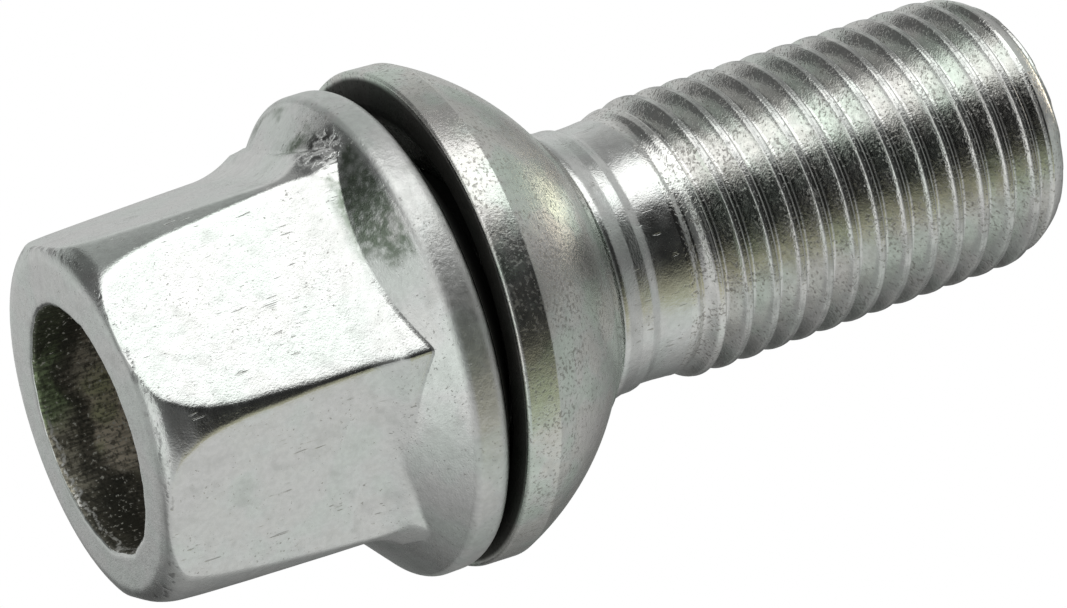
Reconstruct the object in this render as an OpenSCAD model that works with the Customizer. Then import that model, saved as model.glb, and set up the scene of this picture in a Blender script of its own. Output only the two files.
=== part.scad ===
// Wheel bolt with a hollow hexagon head and a loose ball-seat collar.
// The bolt stands on its head: z = 0 is the head's end face, +Z runs to the thread tip.

/* [Head] */
// Width across the flats of the hexagon, where the flats meet the skirt
hex_af = 17; // [15:0.1:19]
// Length of the flats, from the end face to the skirt
hex_h = 11; // [8:0.1:16]
// Draft of the flats in degrees, narrowing toward the end face
hex_draft = 0.9; // [0:0.1:2]
// How far the corners of the hexagon are turned down from sharp, at the skirt
corner_cut = 0.1; // [0.05:0.05:0.8]
// Taper of the turned corners in degrees, narrowing toward the end face
corner_taper = 4.4; // [1:0.1:5]
// Radius that rounds the corners into the end face
end_round = 0.9; // [0.5:0.1:1.5]
// Radius that rounds the flats into the end face
flat_round = 0.4; // [0.2:0.1:0.8]
// Radius of the fillet between the hexagon and the skirt
foot_r = 3; // [1:0.1:4]
// Crease angle in degrees where that fillet meets the skirt
foot_crease = 6; // [4:1:15]
// Diameter of the hollow in the head
hollow_d = 11.6; // [6:0.1:12.4]
// Depth of the straight wall of the hollow
hollow_depth = 11; // [4:0.1:12]
// Point angle of the hollow's conical floor
hollow_point = 130; // [110:1:160]
// Chamfer at the mouth of the hollow
hollow_chamfer = 0.35; // [0.1:0.05:0.5]

/* [Flange] */
// Diameter of the flange
flange_d = 23.3; // [21:0.1:24.5]
// Width of the flange's rim
rim_w = 1.9; // [1.2:0.1:3]
// Angle between the skirt and the axis of the bolt
skirt_angle = 48; // [40:1:55]
// Rounding of both edges of the rim
rim_round = 0.5; // [0.1:0.05:0.55]
// Slope of the flange's conical back in degrees
back_angle = 30; // [25:1:35]

/* [Seat collar] */
// Diameter of the collar
collar_d = 24; // [22:0.1:25]
// Height of the collar, from its flange-side face to its small end
collar_h = 7.45; // [6.5:0.05:7.6]
// Width of the collar's cylindrical band
band_w = 1.6; // [1:0.1:2]
// Radius of the ball seat
ball_r = 13; // [12.8:0.1:15]
// Wall left round the bore at the collar's small end
nose_wall = 0.36; // [0.3:0.02:0.6]
// Open gap at the rim, between the flange and the collar
rim_gap = 1; // [0.6:0.05:1.4]
// How far inside the collar's rim that gap is measured
gap_inset = 0.85; // [0.5:0.05:1.2]
// Chamfer of the collar's flange-side edge
collar_chamfer = 0.3; // [0.1:0.05:0.5]
// Chamfer at the collar's small end
nose_chamfer = 0.2; // [0.1:0.05:0.3]
// Radial play of the collar round the neck
collar_play = 0.3; // [0.2:0.05:0.35]
// Running clearance between the conical back of the flange and the collar's seat
seat_clear = 0.05; // [0.02:0.01:0.1]

/* [Shank] */
// Diameter of the neck, before the thread
neck_d = 13; // [12.4:0.1:13.1]
// Length of the neck between the collar and the thread
neck_l = 4.25; // [3.5:0.05:12]
// Length of the relief groove in the neck
groove_l = 2.2; // [1:0.1:3]
// Depth of the relief groove
groove_depth = 0.25; // [0.1:0.05:0.4]

/* [Thread] */
// Major diameter of the thread
thread_d = 13.86; // [13.8:0.02:14]
// Length of the thread, with its run-out and its rounded end
thread_l = 21.3; // [12:0.1:40]
// Length over which the thread rises from the neck
runout_l = 1.6; // [0.8:0.1:3]
// Length of the rounded end of the thread
taper_l = 2.4; // [1.2:0.1:3.4]
// Diameter of the flat at the tip
tip_d = 12.1; // [11:0.1:12.6]

/* [Hidden] */
$fn = 96;
steel = [0.74, 0.76, 0.75];
collar_steel = [0.66, 0.69, 0.67];
flats = 6;
arc_steps = 8;
overlap = 0.5;
fine_step = 0.001;

hex_r = hex_af / 2;
corner_r = hex_r / cos(180 / flats) - corner_cut;
flange_r = flange_d / 2;
neck_r = neck_d / 2;
thread_r = thread_d / 2;
collar_r = collar_d / 2;
collar_bore_r = neck_r + collar_play;
nose_r = collar_bore_r + nose_wall;

// Heights along the axis
rim_z = skirt_at(flange_r);
back_z = rim_z + rim_w;
collar_z = back_at(collar_r - gap_inset) + rim_gap;
collar_top = collar_z + collar_h;
thread_z = collar_top + neck_l;
length = thread_z + thread_l;

// Radius of the bow that rounds the thread's end, and of the relief groove's section
tip_round = arc_radius(taper_l, thread_r - tip_d / 2);
groove_r = arc_radius(groove_l / 2, groove_depth);

// Radius of an arc from its half chord and its rise
function arc_radius(half_chord, rise) =
    (pow(half_chord, 2) + pow(rise, 2)) / (2 * rise);

// Centre of the ball seat's arc, which runs from the band's edge to the collar's small end.
// At the real sizes, and to the fine step, it lies on the axis, so the seat is a true ball.
function ball_centre(edge, nose) =
    let (half = (nose - edge) / 2,
         away = sqrt(pow(ball_r, 2) - half * half) / norm(half))
        [for (v = edge + half + away * [-half.y, half.x]) round(v / fine_step) * fine_step];

// Height of the skirt at a radius
function skirt_at(r) = hex_h + (r - hex_r) / tan(skirt_angle);

// Height of the flange's conical back at a radius
function back_at(r) = back_z + (flange_r - rim_round - r) * tan(back_angle);

// Points of an arc round a centre, from one angle to another
function arc(centre, r, from, to) =
    [for (i = [0 : arc_steps]) let (a = from + (to - from) * i / arc_steps)
        centre + r * [cos(a), sin(a)]];

// Points of the fillet that leads a wall at radius r into the skirt, then up inside it and
// across to another radius
function foot(r, across_to) =
    let (turn = skirt_angle - foot_crease,
         out = foot_r * (1 - cos(turn)),
         meet_z = skirt_at(r + out),
         top_z = max(rim_z, meet_z))
        concat(arc([r + foot_r, meet_z - foot_r * sin(turn)], foot_r, 180, 180 - turn),
               [[r + out, top_z], [across_to, top_z]]);

// Six drafted flats with their fillets, as the common part of six walls
module hexagon() {
    block = 4 * hex_af;
    round_c = [hex_r - hex_h * tan(hex_draft) - flat_round, flat_round];
    intersection_for (i = [0 : flats - 1])
        rotate([90, 0, i * 360 / flats])
            linear_extrude(height = block, center = true)
                polygon(concat(
                    [[-block, 0]],
                    arc(round_c, flat_round, -90, 0),
                    foot(hex_r, -block)));
}

// Turned blank that rounds the six corners, their feet and the end face
module head_blank() {
    low_r = corner_r - (hex_h - end_round) * tan(corner_taper);
    round_c = [low_r - end_round * cos(corner_taper), end_round];
    rotate_extrude()
        polygon(concat(
            [[0, 0]],
            arc(round_c, end_round, -90, -corner_taper),
            foot(corner_r, 0)));
}

// Skirt, flange, neck and thread, as one turned form
module shank() {
    low_c = [flange_r - rim_round, rim_z + rim_round * tan(skirt_angle / 2)];
    high_c = [flange_r - rim_round, back_z - rim_round / cos(back_angle)];
    groove_c = [neck_r - groove_depth + groove_r, collar_top + groove_l / 2];
    groove_a = asin(groove_l / 2 / groove_r);
    tip_c = [thread_r - tip_round, length - taper_l];
    tip_a = asin(taper_l / tip_round);
    rotate_extrude()
        polygon(concat(
            [[0, hex_h - overlap], [hex_r - overlap * tan(skirt_angle), hex_h - overlap]],
            arc(low_c, rim_round, -skirt_angle, 0),
            arc(high_c, rim_round, 0, 90 - back_angle),
            [[neck_r, back_at(neck_r)]],
            arc(groove_c, groove_r, 180 + groove_a, 180 - groove_a),
            [[neck_r, thread_z], [thread_r, thread_z + runout_l]],
            arc(tip_c, tip_round, 0, tip_a),
            [[0, length]]));
}

// Hollow of the head, with its chamfered mouth and conical floor
module hollow() {
    hollow_r = hollow_d / 2;
    tip_h = hollow_r / tan(hollow_point / 2);
    translate([0, 0, -overlap])
        cylinder(h = hollow_depth + overlap, r = hollow_r);
    translate([0, 0, hollow_depth])
        cylinder(h = tip_h, r1 = hollow_r, r2 = 0);
    translate([0, 0, -overlap])
        cylinder(h = hollow_chamfer + overlap, r1 = hollow_r + hollow_chamfer + overlap, r2 = hollow_r);
}

module bolt() {
    color(steel)
        difference() {
            union() {
                intersection() {
                    hexagon();
                    head_blank();
                }
                shank();
            }
            hollow();
        }
}

// Ring with a ball seat outside, a conical seat below and a bore that clears the neck
module seat_collar() {
    seat_r = collar_r - gap_inset - (rim_gap - seat_clear) / tan(back_angle);
    color(collar_steel)
        rotate_extrude()
            intersection() {
                translate(ball_centre([collar_r, collar_z + band_w], [nose_r, collar_top]))
                    circle(r = ball_r);
                polygon([
                    [collar_bore_r, back_at(collar_bore_r) + seat_clear],
                    [seat_r, collar_z],
                    [collar_r - collar_chamfer, collar_z],
                    [collar_r, collar_z + collar_chamfer],
                    [collar_r, collar_top - nose_chamfer],
                    [nose_r + nose_chamfer, collar_top - nose_chamfer],
                    [nose_r, collar_top],
                    [collar_bore_r, collar_top]]);
            }
}

bolt();
seat_collar();
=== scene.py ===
# Wheel bolt with a loose ball-seat collar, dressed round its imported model.
import math
import bmesh
import bpy
import numpy as np
from mathutils import Matrix, Vector, noise


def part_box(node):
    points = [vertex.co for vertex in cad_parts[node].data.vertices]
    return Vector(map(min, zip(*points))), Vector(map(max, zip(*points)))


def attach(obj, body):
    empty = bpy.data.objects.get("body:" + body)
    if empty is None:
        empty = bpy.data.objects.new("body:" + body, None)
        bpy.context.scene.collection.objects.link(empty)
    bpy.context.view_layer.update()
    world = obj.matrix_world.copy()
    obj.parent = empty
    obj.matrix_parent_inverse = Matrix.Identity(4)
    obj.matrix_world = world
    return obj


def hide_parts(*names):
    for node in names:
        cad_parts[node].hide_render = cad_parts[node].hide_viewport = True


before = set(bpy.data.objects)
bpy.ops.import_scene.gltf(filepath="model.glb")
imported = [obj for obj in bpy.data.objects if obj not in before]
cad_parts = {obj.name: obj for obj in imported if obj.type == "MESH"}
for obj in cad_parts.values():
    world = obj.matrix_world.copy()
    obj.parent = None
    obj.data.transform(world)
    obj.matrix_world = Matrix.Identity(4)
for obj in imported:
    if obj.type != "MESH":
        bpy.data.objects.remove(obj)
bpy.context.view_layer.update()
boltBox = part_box("bolt")
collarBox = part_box("seat_collar")
print("frame loaded")

mm = 0.001
stations = 192           # points round every ring
sides = 6
noiseSeed = (3.1, 7.7, 1.9)

# Sizes in millimetres, heights from the head's end face
headSizes = {
    "acrossFlats": 17.0,
    "flatLength": 11.0,
    "draft": 0.9,            # degrees
    "cornerCut": 0.1,
    "cornerTaper": 4.4,      # degrees
    "endRound": 1.3,
    "flatRound": 0.4,
    "footRadius": 3.0,
    "footCrease": 6.0,       # degrees
    "edgeBlend": 0.1,        # softness of the edge between a flat and a turned corner
    "sharpness": (0.3, 0.3, 0.3, 0.5, 1.0, 0.3),   # how near each corner comes to its sharp form
    "sharpForm": ((0.9, 7.9), (1.7, 5.2), (2.7, 3.2), (4.2, 1.9), (5.6, 1.6), (7.4, 0.9),
                  (9.7, 0.6), (13.0, 0.4)),        # height, and half the corner's width in degrees
    "sharpStart": 0.5,       # height at which the corners begin to turn sharp
    "sharpRise": 1.2,
    "flatTop": 9.2,          # height from which the rows follow the crease
    "creaseRange": (9.7, 13.6),
    "forgedOffset": (-0.217, 0.037),   # the hexagon was struck a little off the axis
    "waviness": 0.012,
    "wavyFrom": 7.6,         # least distance from the axis
}
hollowSizes = {
    "radius": 5.8,
    "depth": 11.0,
    "pointAngle": 130.0,
    "mouthRound": 0.24,
    "burr": 0.12,            # how far the mouth's edge wanders
    "burrHeight": 0.9,
    "burrReach": 6.5,
}
flangeSizes = {
    "radius": 11.65,
    "rimWidth": 1.9,
    "skirtAngle": 48.0,
    "rimRound": 0.5,
    "backRound": 0.8,
    "backAngle": 30.0,
}
neckSizes = {
    "radius": 6.5,
    "length": 4.25,
    "shankRadius": 6.42,
    "threadLead": 0.3,       # how far the thread starts before the neck's end
    # rolled bead that keeps the collar on: height past the collar, and radius
    "bead": ((0.12, 6.70), (0.2, 6.75), (0.42, 6.745), (0.55, 6.70), (0.85, 6.635), (1.15, 6.56),
             (1.25, 6.545), (1.75, 6.54), (1.85, 6.52), (2.05, 6.42), (2.22, 6.36), (2.34, 6.345),
             (2.8, 6.35), (3.3, 6.37), (3.8, 6.41)),
}
collarSizes = {
    "height": 7.45,
    "bandWidth": 1.6,
    "ballRadius": 13.0,
    "boreRadius": 6.86,
    "rimGap": 1.0,
    "seatRadius": 10.41,
    "seatLift": 0.75,        # room under the tilted seat
    "edgeRound": 0.2,
    "noseRound": 0.22,
    "noseWall": 0.3,
    "bandInset": 0.05,       # room for the tilt inside the collar's box
    "sunk": 0.25,            # how far it lies toward the flange
    "tilt": 2.4,             # degrees, as it hangs in its play
    "tiltRound": 9.6,        # degrees round the axis
    "pivotHeight": 1.3,      # above the collar's flange-side face
    "bandEdge": 0.05,
    "noseAngle": 50.0,       # degrees at which the small end's rounding leaves the ball
    "boreRound": 0.15,
    "ballRows": 38,
}
threadSizes = {
    "crestRadius": 6.93,
    "pitch": 1.5,
    "depth": 0.9,
    "runout": 2.0,
    "taper": 2.4,
    "tipRadius": 6.05,
    "grooveHeight": 30.58,   # height of one groove's centre straight ahead on +X
    "crestFlat": 0.07,       # half the crest's width, without its rounding
    "crestRound": 0.16,
    "crestFold": 0.03,       # the shallow seam that rolling leaves along the crest
    "flankAngle": 60.0,      # degrees between a flank and the axis
    "flankRows": (0.34, 0.48, 0.6, 0.68),   # distances from the crest's middle
    "endInset": 0.01,
}
rowCounts = {"floor": 12, "wall": 40, "mouth": 6, "endFace": 9, "edge": 17, "flats": 30,
             "crease": 22, "skirt": 14, "rim": 6, "rimBack": 8, "back": 9, "neck": 7}
mergeReach = {"thread": 0.0015, "bolt": 0.002, "sliver": 0.0005}   # millimetres


def arcPoints(centre, radius, start, end, steps):
    angles = np.radians(np.linspace(start, end, steps + 1))
    return [(centre[0] + radius * math.cos(a), centre[1] + radius * math.sin(a)) for a in angles]


def tangent(degrees):
    return math.tan(math.radians(degrees))


hexRadius = headSizes["acrossFlats"] / 2
cornerRadius = hexRadius / math.cos(math.pi / sides) - headSizes["cornerCut"]
skirtSlope = tangent(flangeSizes["skirtAngle"])
backSlope = tangent(flangeSizes["backAngle"])


def skirtHeight(radius):
    return headSizes["flatLength"] + (radius - hexRadius) / skirtSlope


def skirtRadius(height):
    return hexRadius + (height - headSizes["flatLength"]) * skirtSlope


rimHeight = skirtHeight(flangeSizes["radius"])
backHeight = rimHeight + flangeSizes["rimWidth"]
backStart = flangeSizes["radius"] - flangeSizes["backRound"]
collarHeight = backHeight + collarSizes["rimGap"]
collarTop = collarHeight + collarSizes["height"]
threadStart = collarTop + neckSizes["length"] - neckSizes["threadLead"]
floorRise = hollowSizes["radius"] / tangent(hollowSizes["pointAngle"] / 2)
boltLength = boltBox[1][2] / mm


def backSurface(radius):
    return backHeight + (backStart - radius) * backSlope


def footArc(radius):
    turn = flangeSizes["skirtAngle"] - headSizes["footCrease"]
    foot = headSizes["footRadius"]
    out = foot * (1 - math.cos(math.radians(turn)))
    lowHeight = skirtHeight(radius + out) - foot * math.sin(math.radians(turn))
    return arcPoints((radius + foot, lowHeight), foot, 180, 180 - turn, 24)


def wallCurves():
    # the two sections that bound the hexagon: through a flat, and through a turned corner
    size = headSizes
    footRadius = hexRadius - size["flatLength"] * tangent(size["draft"])
    flat = arcPoints((footRadius - size["flatRound"], size["flatRound"]), size["flatRound"], -90, 0, 24)
    flat += footArc(hexRadius)
    taper = math.radians(size["cornerTaper"])
    lowRadius = cornerRadius - (size["flatLength"] - size["endRound"]) * math.tan(taper)
    centre = (lowRadius - size["endRound"] * math.cos(taper), size["endRound"])
    corner = arcPoints(centre, size["endRound"], -90, -size["cornerTaper"], 24)
    corner += footArc(cornerRadius)
    return np.array(flat), np.array(corner)


flatCurve, cornerCurve = wallCurves()
sharpForm = np.array(headSizes["sharpForm"])
sharpness = np.array(headSizes["sharpness"])


def smoothLeast(a, b, blend):
    share = np.clip(0.5 + 0.5 * (b - a) / blend, 0, 1)
    return b * (1 - share) + a * share - blend * share * (1 - share)


def cornerAt(height, nearest):
    # a turned corner, drawn out toward the sharp edge between its flats
    flat = np.interp(height, flatCurve[:, 1], flatCurve[:, 0])
    turned = np.interp(height, cornerCurve[:, 1], cornerCurve[:, 0])
    half = np.radians(180 / sides - np.interp(height, sharpForm[:, 0], sharpForm[:, 1]))
    rise = (height - headSizes["sharpStart"]) / headSizes["sharpRise"]
    share = sharpness[nearest] * np.clip(rise, 0, 1)
    return turned + np.maximum(flat / np.cos(half) - turned, 0) * share


def headRadius(angle, height):
    # radius of the hexagon about its own centre
    step = 2 * math.pi / sides
    offFlat = np.abs((angle + step / 2) % step - step / 2)
    flat = np.interp(height, flatCurve[:, 1], flatCurve[:, 0]) / np.cos(offFlat)
    corner = cornerAt(height, np.floor(angle / step).astype(int) % sides)
    return smoothLeast(flat, corner, headSizes["edgeBlend"])


def headAngles(height):
    # stations gather at the edges between the flats and the turned corners
    flat = np.interp(height, flatCurve[:, 1], flatCurve[:, 0])
    half = math.pi / sides
    perHalf = stations // (2 * sides)
    flatSteps = perHalf * 2 // 3
    index = np.arange(stations)
    sector = (index + perHalf) // (2 * perHalf)
    inSector = index - sector * 2 * perHalf
    count = np.abs(inSector)
    corner = cornerAt(height, (sector - (inSector < 0)) % sides)
    edge = np.arccos(np.clip(flat / corner, 0, 1))
    onFlat = edge * np.sin(np.pi / 2 * np.minimum(count, flatSteps) / flatSteps)
    onCorner = (half - edge) * np.maximum(count - flatSteps, 0) / (perHalf - flatSteps)
    return sector * 2 * half + np.sign(inSector) * (onFlat + onCorner)


offset = np.array(headSizes["forgedOffset"])
evenAngles = 2 * math.pi * np.arange(stations) / stations


def headRow(height):
    angles = headAngles(height)
    radius = headRadius(angles, height)
    spot = offset + radius[:, None] * np.stack([np.cos(angles), np.sin(angles)], 1)
    return np.column_stack([spot, np.full(stations, height)])


def evenRing(radius, height):
    return np.column_stack([radius * np.cos(evenAngles), radius * np.sin(evenAngles),
                            np.full(stations, float(height))])


def creaseHeights():
    # where the fillet runs out into the skirt, station by station
    low, high = (np.full(stations, height) for height in headSizes["creaseRange"])
    for _ in range(40):
        middle = (low + high) / 2
        row = headRow(middle)
        outside = np.hypot(row[:, 0], row[:, 1]) > skirtRadius(middle)
        low = np.where(outside, middle, low)
        high = np.where(outside, high, middle)
    return (low + high) / 2


def ease(share):
    return share * share * (3 - 2 * share)


def headRows():
    size = headSizes
    count = rowCounts
    rows = []
    # hollow: conical floor, wall, rounded mouth
    radius = hollowSizes["radius"]
    for share in np.linspace(0.04, 0.96, count["floor"]):
        rows.append(evenRing(radius * share, hollowSizes["depth"] + floorRise * (1 - share)))
    mouth = hollowSizes["mouthRound"]
    for height in np.linspace(hollowSizes["depth"], mouth + 0.05, count["wall"]):
        rows.append(evenRing(radius, height))
    for along, height in arcPoints((radius + mouth, mouth), mouth, 180, 270, count["mouth"])[1:]:
        rows.append(evenRing(along, height))
    # end face, from the round mouth out to the outline
    inner, outer = rows[-1], headRow(0.0)
    for share in np.linspace(0, 1, count["endFace"])[1:-1]:
        rows.append(inner * (1 - share) + outer * share)
    # rounded edge, then the flats
    for turn in np.linspace(0, math.pi / 2, count["edge"]):
        rows.append(headRow(size["endRound"] * (1 - math.cos(turn))))
    for height in np.linspace(size["endRound"], size["flatTop"], count["flats"])[1:]:
        rows.append(headRow(height))
    crease = creaseHeights()
    for share in np.linspace(0, 1, count["crease"])[1:]:
        rows.append(headRow(size["flatTop"] + (crease - size["flatTop"]) * share))
    # skirt, turning from the gathered stations to even ones
    last = rows[-1]
    startAngle = np.unwrap(np.arctan2(last[:, 1], last[:, 0]))
    rim = flangeSizes["rimRound"]
    low = (flangeSizes["radius"] - rim, rimHeight + rim * tangent(flangeSizes["skirtAngle"] / 2))
    lowArc = arcPoints(low, rim, -flangeSizes["skirtAngle"], 0, count["rim"])
    for share in np.linspace(0, 1, count["skirt"])[1:]:
        height = last[:, 2] + (lowArc[0][1] - last[:, 2]) * share
        angle = startAngle + (evenAngles - startAngle) * ease(share)
        reach = skirtRadius(height)
        rows.append(np.column_stack([reach * np.cos(angle), reach * np.sin(angle), height]))
    # rim, conical back and neck
    slope = flangeSizes["backAngle"]
    high = (backStart, backHeight - flangeSizes["backRound"] / math.cos(math.radians(slope)))
    section = lowArc[1:]
    section += arcPoints(high, flangeSizes["backRound"], 0, 90 - slope, count["rimBack"])
    for radius in np.linspace(section[-1][0], neckSizes["radius"], count["back"])[1:]:
        section.append((radius, backSurface(radius)))
    for radius, height in section + neckSection():
        rows.append(evenRing(radius, height))
    return rows


def neckSection():
    neck = neckSizes["radius"]
    heights = np.linspace(backSurface(neck), collarTop, rowCounts["neck"])[1:]
    points = [(neck, height) for height in heights]
    points += [(radius, collarTop + height) for height, radius in neckSizes["bead"]]
    points.append((neckSizes["shankRadius"], threadStart))
    return points


def forgedPush(spot, reach):
    # how far a point moves outward: torn at the hollow's mouth, wavy on the forged faces
    height = spot[2]
    if height < hollowSizes["burrHeight"] and reach < hollowSizes["burrReach"]:
        torn = noise.noise(Vector((spot[0] * 0.9, spot[1] * 0.9, 4.4)))
        torn += 0.6 * noise.noise(Vector((spot[0] * 2.7, spot[1] * 2.7, 9.4)))
        return hollowSizes["burr"] * torn * (1 - height / hollowSizes["burrHeight"])
    if reach < headSizes["wavyFrom"] or not 0.02 <= height <= headSizes["creaseRange"][1]:
        return 0
    place = Vector(spot) * 0.33 + Vector(noiseSeed)
    waves = noise.noise(place) + 0.5 * noise.noise(place * 2.3)
    return headSizes["waviness"] * waves * min(1, height / 1.5)


def wavyHead(points):
    moved = points.copy()
    for index, spot in enumerate(points):
        reach = math.hypot(spot[0], spot[1])
        moved[index, :2] += spot[:2] / reach * forgedPush(spot, reach)
    return moved


def addRings(mesh, rows):
    return [[mesh.verts.new(Vector(point) * mm) for point in row] for row in rows]


def joinRings(mesh, pairs):
    for lower, upper in pairs:
        for i in range(stations):
            after = (i + 1) % stations
            mesh.faces.new((lower[i], upper[i], upper[after], lower[after]))


def headMesh():
    rows = headRows()
    mesh = bmesh.new()
    pole = mesh.verts.new((0, 0, (hollowSizes["depth"] + floorRise) * mm))
    rings = addRings(mesh, wavyHead(np.concatenate(rows)).reshape(-1, stations, 3))
    for i in range(stations):
        mesh.faces.new((pole, rings[0][i], rings[0][(i + 1) % stations]))
    joinRings(mesh, zip(rings, rings[1:]))
    # the hollow's finish ends on the rounding of its mouth
    mouthEnd = hollowSizes["mouthRound"] * 0.25
    wallRings = next(k for k, row in enumerate(rows) if row[0][2] < mouthEnd)
    wall = {vert for ring in rings[:wallRings] for vert in ring} | {pole}
    for face in mesh.faces:
        face.smooth = True
        if wall.issuperset(face.verts):
            face.material_index = 1
    return mesh


def newPiece(name, mesh, materials):
    data = bpy.data.meshes.new(name)
    mesh.to_mesh(data)
    mesh.free()
    for material in materials:
        data.materials.append(material)
    piece = bpy.data.objects.new(name, data)
    bpy.context.scene.collection.objects.link(piece)
    return piece


class Tree:
    # short hands for building a node tree
    def __init__(self, tree):
        self.tree = tree

    def node(self, kind, **settings):
        made = self.tree.nodes.new(kind)
        for name, value in settings.items():
            setattr(made, name, value)
        return made

    def link(self, source, target):
        if isinstance(source, (int, float)):
            target.default_value = source
        else:
            self.tree.links.new(source, target)

    def math(self, operation, *values):
        made = self.node("ShaderNodeMath", operation=operation)
        for value, socket in zip(values, made.inputs):
            self.link(value, socket)
        return made.outputs[0]


def threadTree():
    tree = bpy.data.node_groups.new("threadedShank", "GeometryNodeTree")
    build = Tree(tree)
    calc = build.math
    sockets = {}
    lengths = ("Crest Radius", "Neck Radius", "Pitch", "Depth", "First Groove", "Start", "Runout",
               "End", "Taper", "Tip Radius")
    kinds = [(name, "NodeSocketFloat") for name in lengths]
    kinds += [(name, "NodeSocketInt") for name in ("Stations", "Rows Per Pitch", "Turns")]
    for name, kind in kinds + [("Material", "NodeSocketMaterial")]:
        sockets[name] = tree.interface.new_socket(name, in_out="INPUT", socket_type=kind).identifier
    tree.interface.new_socket("Geometry", in_out="OUTPUT", socket_type="NodeSocketGeometry")
    given = build.node("NodeGroupInput").outputs
    out = build.node("NodeGroupOutput")

    # a sheet of points, which is then rolled up along the helix
    rowCount = calc("MULTIPLY", given["Rows Per Pitch"], given["Turns"])
    grid = build.node("GeometryNodeMeshGrid")
    grid.inputs["Size X"].default_value = 1
    grid.inputs["Size Y"].default_value = 1
    build.link(calc("ADD", given["Stations"], 1), grid.inputs["Vertices X"])
    build.link(calc("ADD", rowCount, 1), grid.inputs["Vertices Y"])
    place = axesOf(build, build.node("GeometryNodeInputPosition").outputs[0])
    alongX = calc("MULTIPLY", calc("ADD", place[0], 0.5), given["Stations"])
    station = calc("ROUND", alongX)
    alongY = calc("MULTIPLY", calc("ADD", place[1], 0.5), rowCount)
    row = calc("ROUND", alongY)
    turnShare = calc("DIVIDE", station, given["Stations"])
    angle = calc("MULTIPLY", turnShare, 2 * math.pi)
    rowTurn = calc("DIVIDE", row, given["Rows Per Pitch"])
    wholeTurn = calc("FLOOR", calc("ADD", rowTurn, 0.0001))
    inTurn = calc("SUBTRACT", rowTurn, wholeTurn)

    # rows stand closer at the crest and the root than on the flanks
    spacing = build.node("ShaderNodeFloatCurve")
    shapeCurve(spacing, rowPlaces())
    build.link(inTurn, spacing.inputs["Value"])
    phase = spacing.outputs[0]
    turns = calc("ADD", calc("ADD", wholeTurn, phase), turnShare)
    rise = calc("ADD", calc("MULTIPLY", turns, given["Pitch"]), given["First Groove"])

    # section of the thread, from groove to groove
    section = build.node("ShaderNodeFloatCurve")
    shapeCurve(section, threadSection())
    build.link(phase, section.inputs["Value"])
    cut = calc("MULTIPLY", calc("SUBTRACT", 1.0, section.outputs[0]), given["Depth"])
    threadRadius = calc("SUBTRACT", given["Crest Radius"], cut)

    # run-out from the neck
    begun = calc("DIVIDE", calc("SUBTRACT", rise, given["Start"]), given["Runout"])
    share = build.node("ShaderNodeMapRange", interpolation_type="SMOOTHSTEP")
    build.link(begun, share.inputs["Value"])
    stands = calc("SUBTRACT", threadRadius, given["Neck Radius"])
    opened = calc("MULTIPLY", share.outputs[0], stands)
    radius = calc("ADD", given["Neck Radius"], opened)

    # rounded end
    taperStart = calc("SUBTRACT", given["End"], given["Taper"])
    past = calc("MAXIMUM", calc("SUBTRACT", rise, taperStart), 0.0)
    pastShare = calc("MINIMUM", calc("DIVIDE", past, given["Taper"]), 1.0)
    fall = calc("SUBTRACT", given["Crest Radius"], given["Tip Radius"])
    bow = calc("MULTIPLY", calc("MULTIPLY", pastShare, pastShare), fall)
    limit = calc("SUBTRACT", given["Crest Radius"], bow)
    radius = calc("MINIMUM", radius, limit)

    # flat end: rows past it close in to the axis
    beyond = calc("MAXIMUM", calc("SUBTRACT", rise, given["End"]), 0.0)
    beyondShare = calc("DIVIDE", beyond, given["Pitch"])
    closing = calc("MAXIMUM", calc("SUBTRACT", 1.0, beyondShare), 0.0)
    radius = calc("MULTIPLY", radius, closing)
    height = calc("MINIMUM", calc("MAXIMUM", rise, given["Start"]), given["End"])

    spot = build.node("ShaderNodeCombineXYZ")
    build.link(calc("MULTIPLY", radius, calc("COSINE", angle)), spot.inputs[0])
    build.link(calc("MULTIPLY", radius, calc("SINE", angle)), spot.inputs[1])
    build.link(height, spot.inputs[2])
    move = build.node("GeometryNodeSetPosition")
    build.link(grid.outputs["Mesh"], move.inputs["Geometry"])
    build.link(spot.outputs[0], move.inputs["Position"])
    merge = build.node("GeometryNodeMergeByDistance")
    merge.inputs["Distance"].default_value = mergeReach["thread"] * mm
    build.link(move.outputs[0], merge.inputs["Geometry"])
    smooth = build.node("GeometryNodeSetShadeSmooth")
    build.link(merge.outputs[0], smooth.inputs[0])
    realize = build.node("GeometryNodeRealizeInstances")
    build.link(smooth.outputs[0], realize.inputs[0])
    paint = build.node("GeometryNodeSetMaterial")
    build.link(realize.outputs[0], paint.inputs["Geometry"])
    build.link(given["Material"], paint.inputs["Material"])
    build.link(paint.outputs[0], out.inputs[0])
    return tree, sockets


def shapeCurve(node, points):
    curve = node.mapping.curves[0]
    curve.points[0].location = points[0]
    curve.points[1].location = points[-1]
    for x, y in points[1:-1]:
        curve.points.new(x, y)
    for point in curve.points:
        point.handle_type = "VECTOR"
    node.mapping.update()


flankAngle = math.radians(threadSizes["flankAngle"])
crestTurn = threadSizes["crestRound"] * math.sin(flankAngle)


def rowOffsets():
    # distances from the crest's middle at which rows stand, in millimetres
    flat = threadSizes["crestFlat"]
    return [0.0, *(flat + crestTurn * share for share in (0, 0.4, 0.72, 1)), *threadSizes["flankRows"]]


def rowPlaces():
    pitch = threadSizes["pitch"]
    places = [0.0] + [0.5 - d / pitch for d in reversed(rowOffsets())]
    places += [0.5 + d / pitch for d in rowOffsets()[1:]] + [1.0]
    return [(k / (len(places) - 1), place) for k, place in enumerate(places)]


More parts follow.
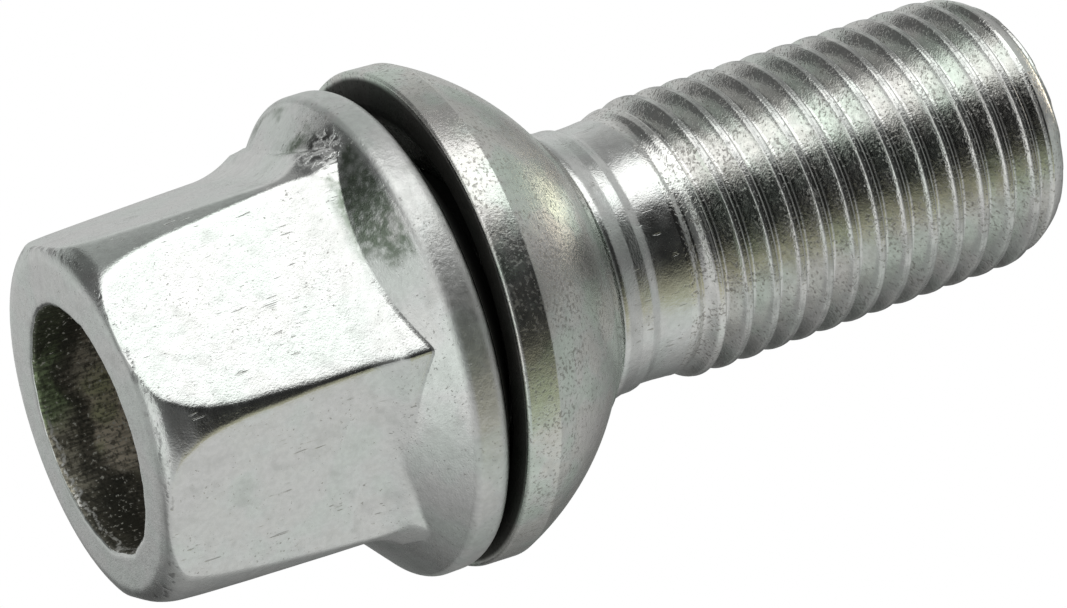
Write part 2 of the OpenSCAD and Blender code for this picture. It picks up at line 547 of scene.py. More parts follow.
def threadDrop(away):
    # how far the surface lies below the crest, at a distance along the axis from its middle
    flat, bend = threadSizes["crestFlat"], threadSizes["crestRound"]
    if away <= flat + crestTurn:
        fold = threadSizes["crestFold"] * max(0, 1 - away / flat)
        return fold + bend - math.sqrt(bend ** 2 - max(0, away - flat) ** 2)
    return bend * (1 - math.cos(flankAngle)) + (away - flat - crestTurn) * math.tan(flankAngle)


def threadSection():
    # share of the thread's depth that stands, against the phase from groove to groove
    size = threadSizes
    points = []
    for _, phase in rowPlaces():
        drop = threadDrop(abs(phase - 0.5) * size["pitch"])
        points.append((phase, 1 - min(drop, size["depth"]) / size["depth"]))
    return points


def threadMesh(material):
    size = threadSizes
    tree, sockets = threadTree()
    holder = bpy.data.objects.new("threadMaker", bpy.data.meshes.new("threadMaker"))
    bpy.context.scene.collection.objects.link(holder)
    modifier = holder.modifiers.new("thread", "NODES")
    modifier.node_group = tree
    rowsPerPitch = len(rowPlaces()) - 1
    lowGroove = size["grooveHeight"]
    while lowGroove + size["pitch"] > threadStart:
        lowGroove -= size["pitch"]
    turns = math.ceil((boltLength - lowGroove) / size["pitch"]) + 1
    lengths = {
        "Crest Radius": size["crestRadius"], "Neck Radius": neckSizes["shankRadius"],
        "Pitch": size["pitch"], "Depth": size["depth"], "First Groove": lowGroove,
        "Start": threadStart, "Runout": size["runout"], "End": boltLength - size["endInset"],
        "Taper": size["taper"], "Tip Radius": size["tipRadius"],
    }
    values = {name: length * mm for name, length in lengths.items()}
    values |= {"Stations": stations, "Rows Per Pitch": rowsPerPitch, "Turns": turns,
               "Material": material}
    for name, value in values.items():
        modifier[sockets[name]] = value
    bpy.context.view_layer.update()
    made = bpy.data.meshes.new_from_object(
        holder.evaluated_get(bpy.context.evaluated_depsgraph_get()))
    bpy.data.objects.remove(holder)
    return made


def makeBolt(materials):
    mesh = headMesh()
    firstThreadFace = len(mesh.faces)
    mesh.from_mesh(threadMesh(materials[2]))
    mesh.faces.ensure_lookup_table()
    for face in mesh.faces[firstThreadFace:]:
        face.material_index = 2
    bmesh.ops.remove_doubles(mesh, verts=mesh.verts, dist=mergeReach["bolt"] * mm)
    bmesh.ops.dissolve_degenerate(mesh, edges=mesh.edges, dist=mergeReach["sliver"] * mm)
    bmesh.ops.recalc_face_normals(mesh, faces=mesh.faces)
    loose = [e for e in mesh.edges if not e.is_manifold]
    print("bolt mesh", len(mesh.faces), "faces, open or doubled edges", len(loose))
    return newPiece("boltBody", mesh, materials)


def collarSection():
    size = collarSizes
    outer = collarBox[1][0] / mm - size["bandInset"]
    bandTop = collarHeight + size["bandWidth"]
    edge, noseRound, boreRound = size["edgeRound"], size["noseRound"], size["boreRound"]
    ball, bore, seat = size["ballRadius"], size["boreRadius"], size["seatRadius"]
    centre = (0, bandTop - math.sqrt(ball ** 2 - outer ** 2))
    nose = bore + size["noseWall"] + noseRound
    noseTilt = math.degrees(math.acos(nose / ball))
    bandTilt = math.degrees(math.acos(outer / ball))
    points = [(seat, collarHeight)]
    points += arcPoints((outer - edge, collarHeight + edge), edge, -90, 0, 8)
    points.append((outer, bandTop - size["bandEdge"]))
    points += arcPoints(centre, ball, bandTilt, bandTilt + 0.3, 1)
    points += arcPoints(centre, ball, bandTilt + 0.9, noseTilt, size["ballRows"])
    points += arcPoints((nose - noseRound, collarTop - noseRound), noseRound, size["noseAngle"], 90, 4)
    points += arcPoints((bore + boreRound, collarTop - boreRound), boreRound, 90, 180, 4)
    boreLow = backSurface(bore) + size["seatLift"]
    points += [(bore, height) for height in np.linspace(collarTop - 2 * boreRound, boreLow, 6)]
    for radius in np.linspace(bore, seat - 0.1, 6)[1:]:
        points.append((radius, backSurface(radius) + size["seatLift"]))
    return points


def makeCollar(material):
    size = collarSizes
    mesh = bmesh.new()
    rings = addRings(mesh, [evenRing(radius, height) for radius, height in collarSection()])
    joinRings(mesh, zip(rings, rings[1:] + rings[:1]))
    for face in mesh.faces:
        face.smooth = True
    bmesh.ops.recalc_face_normals(mesh, faces=mesh.faces)
    piece = newPiece("seatCollar", mesh, [material])
    # hangs in its play, wider open on the side that faces up in the picture
    pivot = Vector((0, 0, (collarHeight + size["pivotHeight"]) * mm))
    sunk = Vector((0, 0, size["sunk"] * mm))
    about = math.radians(size["tiltRound"])
    hinge = Vector((math.sin(about), math.cos(about), 0))
    turn = Matrix.Rotation(math.radians(size["tilt"]), 4, hinge)
    piece.data.transform(Matrix.Translation(pivot - sunk) @ turn @ Matrix.Translation(-pivot))
    return piece


def fromAxis(build, vector):
    # distance from the bolt's axis
    flatPlace = build.node("ShaderNodeVectorMath", operation="MULTIPLY")
    build.link(vector, flatPlace.inputs[0])
    flatPlace.inputs[1].default_value = (1, 1, 0)
    reach = build.node("ShaderNodeVectorMath", operation="LENGTH")
    build.link(flatPlace.outputs[0], reach.inputs[0])
    return reach.outputs["Value"]


def newGroup(name, inputs, outputs):
    tree = bpy.data.node_groups.new(name, "ShaderNodeTree")
    for label, kind, value in inputs:
        socket = tree.interface.new_socket(label, in_out="INPUT", socket_type=kind)
        if value is not None:
            socket.default_value = value
    for label, kind in outputs:
        tree.interface.new_socket(label, in_out="OUTPUT", socket_type=kind)
    build = Tree(tree)
    return build, build.node("NodeGroupInput").outputs, build.node("NodeGroupOutput").inputs


def noiseAt(build, vector, scale, detail=2.0, stretch=None):
    if stretch:
        mapping = build.node("ShaderNodeMapping")
        mapping.inputs["Scale"].default_value = stretch
        build.link(vector, mapping.inputs["Vector"])
        vector = mapping.outputs[0]
    made = build.node("ShaderNodeTexNoise")
    build.link(vector, made.inputs["Vector"])
    build.link(scale, made.inputs["Scale"])
    made.inputs["Detail"].default_value = detail
    return made.outputs["Fac"]


def between(build, value, low, high, toLow=0.0, toHigh=1.0):
    made = build.node("ShaderNodeMapRange", interpolation_type="SMOOTHSTEP")
    for source, socket in zip((value, low, high, toLow, toHigh), made.inputs):
        build.link(source, socket)
    return made.outputs[0]


def mixed(build, share, first, second, blend="MIX"):
    made = build.node("ShaderNodeMix", data_type="RGBA", blend_type=blend)
    for value, socket in zip((share, first, second), (made.inputs[0], made.inputs[6], made.inputs[7])):
        if isinstance(value, tuple):
            socket.default_value = (*value, 1)
        else:
            build.link(value, socket)
    return made.outputs[2]


def rising(build, value, edge):
    # soft edge between two distances in millimetres
    return between(build, value, edge[0] * mm, edge[1] * mm)


def falling(build, value, edge):
    return between(build, value, edge[0] * mm, edge[1] * mm, 1.0, 0.0)


def product(build, first, *others):
    for other in others:
        first = build.math("MULTIPLY", first, other)
    return first


def belt(build, value, edges):
    return product(build, rising(build, value, edges[0]), falling(build, value, edges[1]))


def laid(build, colour, mask, paint, share):
    # a colour laid over another where the mask stands, and how fully
    return mixed(build, build.math("MULTIPLY", mask, share), colour, paint)


def axesOf(build, vector):
    place = build.node("ShaderNodeSeparateXYZ")
    build.link(vector, place.inputs[0])
    return place.outputs


zincLook = {
    "tints": ((0.0, (0.80, 1.0, 0.86)), (0.36, (0.90, 1.0, 0.93)), (0.5, (1.0, 1.0, 1.0)),
              (0.62, (1.0, 0.965, 0.93)), (1.0, (1.0, 0.90, 0.93))),
    "cloud": ((0.36, 0.37, 0.35), 0.26),
    "pit": (0.22, 0.20, 0.18),
    "dull": (0.42, 0.43, 0.42),
}


def makeZincGroup():
    # bright zinc: fine grain, small pits in clusters, faint green and pink in the passivation
    build, given, out = newGroup("zincPlating", [
        ("Vector", "NodeSocketVector", None), ("Colour", "NodeSocketColor", (0.7, 0.7, 0.7, 1)),
        ("Tint", "NodeSocketFloat", 0.5), ("Grain Scale", "NodeSocketFloat", 8000.0),
        ("Pits", "NodeSocketFloat", 0.5), ("Pit Scale", "NodeSocketFloat", 6000.0),
        ("Pit Colour", "NodeSocketFloat", 0.4), ("Pit Depth", "NodeSocketFloat", 0.5),
        ("Waves", "NodeSocketFloat", 1.0),
        ("Roughness", "NodeSocketFloat", 0.2),
        ("Spread", "NodeSocketFloat", 0.15),
    ], [("Colour", "NodeSocketColor"), ("Roughness", "NodeSocketFloat"), ("Height", "NodeSocketFloat")])
    vector = given["Vector"]
    broad = noiseAt(build, vector, 330.0, 4.0)
    tintRamp = build.node("ShaderNodeValToRGB")
    tints = zincLook["tints"]
    elements = tintRamp.color_ramp.elements
    elements[0].position, elements[0].color = tints[0][0], (*tints[0][1], 1)
    elements[1].position, elements[1].color = tints[-1][0], (*tints[-1][1], 1)
    for place, colour in tints[1:-1]:
        elements.new(place).color = (*colour, 1)
    build.link(between(build, broad, 0.3, 0.7), tintRamp.inputs[0])
    tinted = mixed(build, given["Tint"], given["Colour"], tintRamp.outputs[0], "MULTIPLY")
    # dull clouds
    cloud = between(build, noiseAt(build, vector, 900.0, 4.0), 0.5, 0.75)
    tinted = laid(build, tinted, cloud, *zincLook["cloud"])
    # pits
    pitField = noiseAt(build, vector, given["Pit Scale"], 3.0)
    cluster = between(build, noiseAt(build, vector, 500.0, 3.0), 0.35, 0.7, 0.03, -0.06)
    pitLimit = build.math("SUBTRACT", 0.70, build.math("MULTIPLY", given["Pits"], 0.06))
    pitEdge = build.math("ADD", pitLimit, cluster)
    pit = between(build, pitField, pitEdge, build.math("ADD", pitEdge, 0.14))
    pitted = laid(build, tinted, pit, zincLook["pit"], given["Pit Colour"])
    fine = noiseAt(build, vector, given["Grain Scale"], 5.0)
    middle = noiseAt(build, vector, 1700.0, 3.0)
    mottle = between(build, noiseAt(build, vector, 3800.0, 3.0), 0.3, 0.7, 0.0, 0.2)
    build.link(mixed(build, mottle, pitted, zincLook["dull"]), out["Colour"])
    swing = build.math("SUBTRACT", middle, 0.5)
    rough = build.math("MULTIPLY_ADD", swing, given["Spread"], given["Roughness"])
    rough = build.math("MULTIPLY_ADD", pit, 0.2, rough)
    build.link(rough, out["Roughness"])
    height = build.math("MULTIPLY_ADD", middle, given["Waves"], fine)
    height = build.math("SUBTRACT", height, build.math("MULTIPLY", pit, given["Pit Depth"]))
    build.link(height, out["Height"])
    return build.tree


def makeScratchGroup():
    # short marks left by handling and tools, running across one another
    build, given, out = newGroup("fineScratches", [
        ("Vector", "NodeSocketVector", None), ("Amount", "NodeSocketFloat", 0.5),
    ], [("Mask", "NodeSocketFloat")])
    marks = None
    for turn, seed in (((0.4, 0.1, 0.3), 0.0), ((-0.5, 0.6, 1.3), 3.0)):
        place = build.node("ShaderNodeMapping")
        place.inputs["Rotation"].default_value = turn
        place.inputs["Location"].default_value = (seed, seed, seed)
        place.inputs["Scale"].default_value = (6500, 6500, 650)
        build.link(given["Vector"], place.inputs["Vector"])
        lines = noiseAt(build, place.outputs[0], 1.0, 1.0)
        lines = between(build, lines, 0.70, 0.76)
        marks = lines if marks is None else build.math("MAXIMUM", marks, lines)
    broken = between(build, noiseAt(build, given["Vector"], 800.0, 1.0), 0.5, 0.62)
    build.link(product(build, marks, broken, given["Amount"]), out["Mask"])
    return build.tree


def groupNode(build, tree, vector, **values):
    made = build.node("ShaderNodeGroup", node_tree=tree)
    build.link(vector, made.inputs["Vector"])
    for name, value in values.items():
        label = "".join(" " + c if c.isupper() else c for c in name).title()
        made.inputs[label].default_value = (*value, 1) if isinstance(value, tuple) else value
    return made


def startMaterial(name, metallic=1.0):
    material = bpy.data.materials.new(name)
    material.use_nodes = True
    build = Tree(material.node_tree)
    shader = material.node_tree.nodes["Principled BSDF"]
    shader.inputs["Metallic"].default_value = metallic
    vector = build.node("ShaderNodeTexCoord").outputs["Object"]
    return material, build, shader, vector


def finishMaterial(build, shader, colour, roughness, height, depth, strength):
    build.link(colour, shader.inputs["Base Color"])
    build.link(roughness, shader.inputs["Roughness"])
    bump = build.node("ShaderNodeBump")
    bump.inputs["Distance"].default_value = depth * mm
    bump.inputs["Strength"].default_value = strength
    build.link(height, bump.inputs["Height"])
    build.link(bump.outputs[0], shader.inputs["Normal"])


plateFinish = {
    "head": {"colour": (0.77, 0.785, 0.775), "tint": 0.2, "grainScale": 11000.0, "pits": 0.9,
             "pitScale": 6000.0, "pitColour": 0.5, "pitDepth": 0.3, "waves": 1.6,
             "roughness": 0.22, "spread": 0.2},
    "thread": {"colour": (0.80, 0.81, 0.79), "tint": 0.22, "grainScale": 11000.0, "pits": 2.4,
               "pitScale": 6500.0, "pitColour": 0.6, "pitDepth": 0.6, "waves": 1.4,
               "roughness": 0.06, "spread": 0.1},
    "collar": {"colour": (0.75, 0.77, 0.74), "tint": 0.5, "grainScale": 12000.0, "pits": 2.6,
               "pitScale": 6500.0, "pitColour": 0.5, "pitDepth": 0.35, "waves": 2.4,
               "roughness": 0.25, "spread": 0.2},
    "grainDepth": 0.008,     # millimetres
}
# Paints are a colour and its share; soft edges run from a first distance to a second, in millimetres
# painted shade, dark and matt, in the gap between the flange and the collar
gapShade = {"paint": ((0.04, 0.04, 0.035), 0.92), "roughness": 0.4}
boltWear = {
    "chipHeights": ((0.08, 0.22), (0.32, 0.46)),
    "chipsFrom": (7.4, 7.9),
    "chipsWander": 0.5,
    "rim": (11.35, 11.5),
    "rimRoughness": 0.21,
    "filmHeights": ((11.4, 12.2), (14.2, 15.2)),
    "filmEnd": (11.1, 11.4),
    "filmSide": (-5, -3),
    "tornPlace": (-9.3, -4.6, 12.6),   # where a corner's foot is torn
    "tornReach": 1.5,
    "backEnd": (11.0, 11.3),
    "backHeights": ((15.4, 15.6), (22, 23)),
    "scratch": ((0.25, 0.24, 0.22), 0.5),
    "chips": ((0.12, 0.12, 0.12), 0.55),
    "torn": ((0.06, 0.06, 0.06), 0.85),
    "film": ((0.13, 0.17, 0.12), 0.88),
    "lifts": (2.2, -1.3, -9.0),        # rim, chips and torn metal, in grain depths
}


def paintGapShade(build, mask, colour, rough):
    # painted shade, dark and matt, where the flange and the collar face each other
    colour = laid(build, colour, mask, *gapShade["paint"])
    return colour, build.math("MULTIPLY_ADD", mask, gapShade["roughness"], rough)


def boltPlateMaterial(groups):
    material, build, shader, vector = startMaterial("boltPlate")
    zinc = groupNode(build, groups["zinc"], vector, **plateFinish["head"])
    scratch = groupNode(build, groups["scratch"], vector, amount=0.8)
    wear = boltWear
    place = axesOf(build, vector)
    away = fromAxis(build, vector)
    # chipped line where the flats turn into the end face
    ragged = build.math("SUBTRACT", noiseAt(build, vector, 1500.0, 3.0), 0.5)
    edgeAt = build.math("MULTIPLY_ADD", ragged, wear["chipsWander"] * mm, place[2])
    flecks = between(build, noiseAt(build, vector, 2100.0, 3.0), 0.48, 0.62)
    chips = product(build, belt(build, edgeAt, wear["chipHeights"]), flecks,
                    rising(build, away, wear["chipsFrom"]))
    # dull rim, and an oily film on the skirt
    rim = rising(build, away, wear["rim"])
    film = product(build, between(build, noiseAt(build, vector, 260.0, 7.0), 0.47, 0.56),
                   between(build, noiseAt(build, vector, 3000.0, 3.0), 0.3, 0.6, 0.4, 1.0),
                   between(build, place[0], *(v * mm for v in wear["filmSide"]), 1.0, 0.05),
                   falling(build, away, wear["filmEnd"]),
                   belt(build, place[2], wear["filmHeights"]))
    # torn metal at the foot of one corner
    apart = build.node("ShaderNodeVectorMath", operation="DISTANCE")
    build.link(vector, apart.inputs[0])
    apart.inputs[1].default_value = tuple(v * mm for v in wear["tornPlace"])
    near = falling(build, apart.outputs["Value"], (wear["tornReach"] * 0.45, wear["tornReach"]))
    shreds = noiseAt(build, vector, 2300.0, 4.0)
    torn = product(build, near, between(build, shreds, 0.42, 0.6))
    colour = laid(build, zinc.outputs["Colour"], scratch.outputs[0], *wear["scratch"])
    for mask, paint in ((chips, "chips"), (torn, "torn"), (film, "film")):
        colour = laid(build, colour, mask, *wear[paint])
    rough = build.math("MULTIPLY_ADD", rim, wear["rimRoughness"], zinc.outputs["Roughness"])
    # painted shade on the flange's back and the neck, under the collar
    back = product(build, falling(build, away, wear["backEnd"]),
                   belt(build, place[2], wear["backHeights"]))
    colour, rough = paintGapShade(build, back, colour, rough)
    height = build.math("SUBTRACT", zinc.outputs["Height"], scratch.outputs[0])
    blotch = product(build, rim, noiseAt(build, vector, 3300.0, 5.0))
    for mask, lift in zip((blotch, chips, torn), wear["lifts"]):
        height = build.math("MULTIPLY_ADD", mask, lift, height)
    finishMaterial(build, shader, colour, rough, height, plateFinish["grainDepth"] * 1.3, 0.9)
    return material


hollowFinish = {
    "bare": (0.62, 0.57, 0.47),
    # colour of a painted highlight on the wall
    "paintedHighlight": (1.0, 0.90, 0.74),
    "tarnished": (0.62, 0.70, 0.36),
    "oiled": (0.36, 0.46, 0.26),
    # dark colour of the drawn lines and grit, and of painted shade
    "soot": (0.05, 0.05, 0.04),
    "specks": ((0.95, 0.94, 0.86), 0.8),
    # bright colour of the painted glint on the torn lip
    "lip": ((0.95, 0.95, 0.92), 0.85),
    "bandShare": 0.7,
    "drawnScale": (6200, 6200, 900),
    # soft edges in millimetres, into the hollow and across it
    "oilDepth": (1.0, 2.0),
    "oilSide": (-0.5, 1.0),
    "shadeSides": ((-3.8, -2.6), (3.0, 4.2)),
    "highlightDepth": ((1.9, 2.6), (5.6, 7.0)),
    "highlightSides": ((-2.4, -0.8), (3.0, 4.4)),
    "bandDepth": ((0.9, 1.4), (1.9, 2.5)),
    "lipDepth": ((0.2, 0.3), (0.38, 0.5)),
    "lipSide": (-1.0, 1.0),
    "wander": (-4.0, 3.4, 1.2),   # how far noise moves those edges: side, depth and lip
    "grainDepth": 0.05,
}


def hollowMaterial():
    # bare punched wall: drawn lines along it, a dark band, painted shade toward two sides, a painted
    # highlight deeper in, a painted glint on the torn lip and bright specks
    material, build, shader, vector = startMaterial("hollowWall", 0.5)
    finish = hollowFinish
    place = axesOf(build, vector)
    stray = build.math("SUBTRACT", noiseAt(build, vector, 420.0, 5.0), 0.5)
    sideWander, deepWander, lipWander = (v * mm for v in finish["wander"])
    deep = build.math("MULTIPLY_ADD", stray, deepWander, place[2])
    side = build.math("MULTIPLY_ADD", stray, sideWander, place[0])
    oiled = product(build, falling(build, deep, finish["oilDepth"]),
                    between(build, side, *(v * mm for v in finish["oilSide"]), 1.0, 0.1))
    colour = mixed(build, oiled, finish["bare"], finish["oiled"])
    # painted shade: the wall darkens toward two sides of the hollow
    left, right = ([v * mm for v in edge] for edge in finish["shadeSides"])
    ends = build.math("ADD", between(build, side, *left, 0.8, 0.0), between(build, side, *right, 0.0, 0.8))
    colour = mixed(build, ends, colour, finish["soot"])
    # painted highlight: a bright warm patch on the wall, tinged green in places
    paintedHighlight = product(build, belt(build, deep, finish["highlightDepth"]),
                       belt(build, side, finish["highlightSides"]))
    tarnish = between(build, noiseAt(build, vector, 480.0, 3.0), 0.42, 0.6, 0.0, 0.6)
    highlightColour = mixed(build, tarnish, finish["paintedHighlight"], finish["tarnished"])
    colour = mixed(build, paintedHighlight, colour, highlightColour)
    band = belt(build, deep, finish["bandDepth"])
    colour = laid(build, colour, band, finish["soot"], finish["bandShare"])
    drawn = noiseAt(build, vector, 1.0, 5.0, finish["drawnScale"])
    lines = product(build, between(build, drawn, 0.42, 0.6, 0.0, 0.66),
                    build.math("MULTIPLY_ADD", paintedHighlight, -0.2, 1.0))
    colour = mixed(build, lines, colour, finish["soot"])
    grit = noiseAt(build, vector, 5200.0, 4.0)
    colour = mixed(build, between(build, grit, 0.5, 0.62, 0.0, 0.6), colour, finish["soot"])
    colour = laid(build, colour, between(build, grit, 0.39, 0.33), *finish["specks"])
    # torn lip just inside the mouth, with a painted glint along it on one side
    broken = build.math("SUBTRACT", noiseAt(build, vector, 900.0, 4.0), 0.5)
    lipAt = build.math("MULTIPLY_ADD", broken, lipWander, place[2])
    lip = product(build, belt(build, lipAt, finish["lipDepth"]),
                  rising(build, place[0], finish["lipSide"]), between(build, grit, 0.42, 0.52))
    colour = laid(build, colour, lip, *finish["lip"])
    rough = between(build, drawn, 0.3, 0.7, 0.28, 0.46)
    height = build.math("MULTIPLY_ADD", grit, 0.8, drawn)
    finishMaterial(build, shader, colour, rough, height, finish["grainDepth"], 0.9)
    return material


threadWear = {
    "crest": (6.86, 6.92),
    "crestPaint": (zincLook["dull"], 0.75),
    "crestRoughness": 0.18,
    "sheared": (0.06, 0.02),           # depths below the end
    "shearedPaint": ((0.45, 0.46, 0.45), 0.7),
    "shearedRoughness": 0.42,
}


def threadMaterial(groups):
    material, build, shader, vector = startMaterial("threadPlate")
    zinc = groupNode(build, groups["zinc"], vector, **plateFinish["thread"])
    wear = threadWear
    # rolled crests are duller than the flanks
    crest = product(build, rising(build, fromAxis(build, vector), wear["crest"]),
                    between(build, noiseAt(build, vector, 900.0, 3.0), 0.35, 0.6, 0.3, 1.0))
    colour = laid(build, zinc.outputs["Colour"], crest, *wear["crestPaint"])
    rough = build.math("MULTIPLY_ADD", crest, wear["crestRoughness"], zinc.outputs["Roughness"])
    # matt sheared end
    endEdge = [boltLength - depth for depth in wear["sheared"]]
    sheared = rising(build, axesOf(build, vector)[2], endEdge)
    colour = laid(build, colour, sheared, *wear["shearedPaint"])
    rough = build.math("MULTIPLY_ADD", sheared, wear["shearedRoughness"], rough)
    finishMaterial(build, shader, colour, rough, zinc.outputs["Height"],
                   plateFinish["grainDepth"] * 1.3, 1.0)
    return material


collarWear = {
    "turningScale": (60, 60, 9000),
    "underEnd": (11.5, 11.8),
    "underHeight": (17.2, 17.5),
}


def collarMaterial(groups):
    material, build, shader, vector = startMaterial("collarPlate")
    zinc = groupNode(build, groups["zinc"], vector, **plateFinish["collar"])
    # faint turning rings round the ball
    rings = noiseAt(build, vector, 1.0, 2.0, collarWear["turningScale"])
    height = build.math("MULTIPLY_ADD", rings, 0.6, zinc.outputs["Height"])
    # painted shade on the collar's underside, facing the flange
    under = product(build, falling(build, fromAxis(build, vector), collarWear["underEnd"]),
                    falling(build, axesOf(build, vector)[2], collarWear["underHeight"]))
    colour, rough = paintGapShade(build, under, zinc.outputs["Colour"], zinc.outputs["Roughness"])
    finishMaterial(build, shader, colour, rough, height, plateFinish["grainDepth"] * 1.1, 0.9)
    return material


cameraView = {
    "aimHeight": 25.4,       # millimetres up the axis
    "distance": 199.94,
    "fromAxis": 65.203,      # degrees between the axis and the line of sight
    "round": -9.6,           # degrees round the axis
    "roll": -18.736,
    "yaw": 0.516,
    "pitch": 0.516,
    "focalLength": 142.14,
}


def makeCamera():
    size = cameraView
    lean = math.radians(size["fromAxis"])
    sight = Vector((0, math.sin(lean), math.cos(lean)))
    across = Vector((0, -math.cos(lean), math.sin(lean)))
    down = Vector((1, 0, 0))
    place = Vector((0, 0, size["aimHeight"])) - size["distance"] * sight
    turn = (Matrix.Rotation(math.radians(size["pitch"]), 3, "X")
            @ Matrix.Rotation(math.radians(size["yaw"]), 3, "Y")
            @ Matrix.Rotation(math.radians(size["roll"]), 3, "Z"))
    rows = turn @ Matrix((across, down, sight))
    about = Matrix.Rotation(math.radians(size["round"]), 3, "Z")
    axes = [about @ Vector(rows[0]), about @ -Vector(rows[1]), about @ -Vector(rows[2])]
    data = bpy.data.cameras.new("camera")
    data.sensor_width = 36
    data.lens = size["focalLength"]
    data.clip_start, data.clip_end = 0.01, 10
    camera = bpy.data.objects.new("camera", data)
    bpy.context.scene.collection.objects.link(camera)
    camera.matrix_world = Matrix.Translation(about @ place * mm) @ Matrix(axes).transposed().to_4x4()
    bpy.context.scene.camera = camera


# Light that reaches the object from each side: rings from below to above, each with the height
# at which it gives way to the next, and stops of degrees round the axis, strength and tint
plainTint = (0.99, 1.0, 0.985)
oliveTint = (1.0, 0.98, 0.72)
warmTint = (1.0, 0.89, 0.72)
studio = (
    ((-0.90, -0.80), ((-180, 0.46), (-150, 0.3), (-110, 0.5), (-60, 0.7), (-15, 0.85), (30, 1.0),
                      (80, 0.84), (110, 0.46), (150, 0.4), (180, 0.46))),
    ((-0.50, -0.40), ((-180, 0.6), (-162, 0.4), (-154, 0.12), (-98, 0.1), (-87, 0.32), (-82, 1.5),
                      (-45, 1.5), (-38, 0.3), (-31, 0.12), (14, 0.12), (30, 0.4), (60, 0.68),
                      (85, 0.56), (110, 0.32), (145, 0.2), (180, 0.6))),
    ((-0.16, -0.04), ((-180, 0.62), (-152, 0.6), (-138, 0.46), (-128, 0.14), (-98, 0.12),
                      (-87, 0.34), (-82, 1.5), (-45, 1.5), (-38, 0.3), (-31, 0.09), (16, 0.09),
                      (30, 0.4), (60, 0.67), (85, 0.56), (100, 0.36), (126, 0.26), (142, 0.08),
                      (162, 0.08), (172, 0.56), (180, 0.62))),
    ((0.60, 0.68), ((-180, 0.56), (-168, 0.58), (-158, 0.68), (-140, 0.62), (-124, 0.46),
                    (-105, 0.32), (-92, 0.26), (-84, 0.42), (-79, 1.65), (-47, 1.65), (-41, 0.4),
                    (-36, 0.05), (-30, 0.018), (18, 0.018), (25, 0.14, oliveTint),
                    (36, 0.34, oliveTint), (48, 0.5, oliveTint), (58, 0.64), (80, 0.68), (98, 0.44),
                    (125, 0.24), (150, 0.13), (164, 0.2), (172, 0.56), (180, 0.56))),
    ((0.90, 0.92), ((-180, 0.26), (-173, 0.26), (-140, 0.46), (-100, 0.6), (-60, 0.55), (-25, 0.3),
                    (0, 0.16), (25, 0.3), (60, 0.5), (110, 0.5), (150, 0.24), (180, 0.26))),
    ((0.985, 0.995), ((-180, 2.6, warmTint), (-150, 2.6, warmTint), (-138, 0.44), (-100, 0.56),
                      (-60, 0.5), (-25, 0.32), (0, 0.14), (25, 0.3), (60, 0.5), (110, 0.4),
                      (150, 0.2), (160, 0.2), (168, 2.6, warmTint), (180, 2.6, warmTint))),
    (None, ((-180, 0.2), (-90, 0.4), (0, 0.2), (90, 0.4), (180, 0.2))),
)


def ringRamp(build, share, stops):
    ramp = build.node("ShaderNodeValToRGB")
    build.link(share, ramp.inputs[0])
    elements = ramp.color_ramp.elements
    for index, (degrees, light, *tint) in enumerate(stops):
        place = degrees / 360 + 0.5
        isEnd = index in (0, len(stops) - 1)
        element = elements[-1 if index else 0] if isEnd else elements.new(place)
        element.position = place
        element.color = [light * c for c in (tint[0] if tint else plainTint)] + [1]
    return ramp.outputs[0]


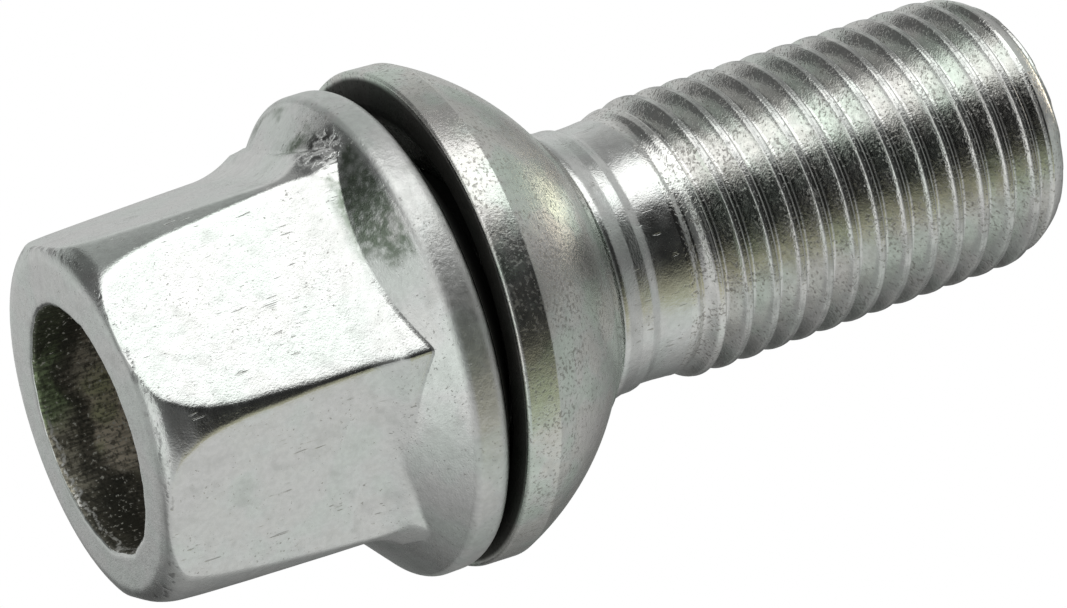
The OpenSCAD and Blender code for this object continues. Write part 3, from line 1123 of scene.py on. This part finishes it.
def makeWorld():
    world = bpy.data.worlds.new("studio")
    world.use_nodes = True
    tree = world.node_tree
    tree.nodes.clear()
    build = Tree(tree)
    direction = axesOf(build, build.node("ShaderNodeTexCoord").outputs["Generated"])
    turn = build.math("ARCTAN2", direction[0], build.math("MULTIPLY", direction[1], -1.0))
    share = build.math("ADD", build.math("DIVIDE", turn, 2 * math.pi), 0.5)
    edge, light = studio[0][0], ringRamp(build, share, studio[0][1])
    for nextEdge, stops in studio[1:]:
        upper = ringRamp(build, share, stops)
        light = mixed(build, between(build, direction[2], *edge), light, upper)
        edge = nextEdge
    path = build.node("ShaderNodeLightPath")
    lit = build.node("ShaderNodeBackground")
    build.link(light, lit.inputs["Color"])
    seen = build.node("ShaderNodeBackground")
    seen.inputs["Color"].default_value = (1, 1, 1, 1)
    mix = build.node("ShaderNodeMixShader")
    build.link(path.outputs["Is Camera Ray"], mix.inputs[0])
    build.link(lit.outputs[0], mix.inputs[1])
    build.link(seen.outputs[0], mix.inputs[2])
    out = build.node("ShaderNodeOutputWorld")
    build.link(mix.outputs[0], out.inputs[0])
    bpy.context.scene.world = world


floorSizes = {               # metres
    "radius": 3,
    "drop": 0.00002,
    "colour": (0.86, 0.86, 0.86),
    "glow": 0.42,
}


def makeFloor():
    mesh = bmesh.new()
    bmesh.ops.create_circle(mesh, cap_ends=True, radius=floorSizes["radius"], segments=64)
    bmesh.ops.translate(mesh, verts=mesh.verts, vec=(0, 0, -floorSizes["drop"]))
    material = bpy.data.materials.new("paleFloor")
    material.use_nodes = True
    tree = material.node_tree
    tree.nodes.clear()
    build = Tree(tree)
    matte = build.node("ShaderNodeBsdfDiffuse")
    matte.inputs["Color"].default_value = (*floorSizes["colour"], 1)
    glow = build.node("ShaderNodeEmission")
    glow.inputs["Strength"].default_value = floorSizes["glow"]
    both = build.node("ShaderNodeAddShader")
    build.link(matte.outputs[0], both.inputs[0])
    build.link(glow.outputs[0], both.inputs[1])
    clear = build.node("ShaderNodeBsdfTransparent")
    mix = build.node("ShaderNodeMixShader")
    build.link(build.node("ShaderNodeNewGeometry").outputs["Backfacing"], mix.inputs[0])
    build.link(both.outputs[0], mix.inputs[1])
    build.link(clear.outputs[0], mix.inputs[2])
    out = build.node("ShaderNodeOutputMaterial")
    build.link(mix.outputs[0], out.inputs[0])
    floor = newPiece("floor", mesh, [material])
    floor.visible_diffuse = False
    floor.visible_glossy = False
    floor.visible_transmission = False
    floor.visible_shadow = False


makeCamera()
makeWorld()
makeFloor()
print("camera, world and floor made")

groups = {"zinc": makeZincGroup(), "scratch": makeScratchGroup()}
print("finishes made")

bolt = makeBolt([boltPlateMaterial(groups), hollowMaterial(), threadMaterial(groups)])
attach(bolt, "bolt")
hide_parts("bolt")
print("bolt made")

collar = makeCollar(collarMaterial(groups))
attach(collar, "collar")
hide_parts("seat_collar")
print("collar made")

scene = bpy.context.scene
scene.view_settings.view_transform = "Standard"
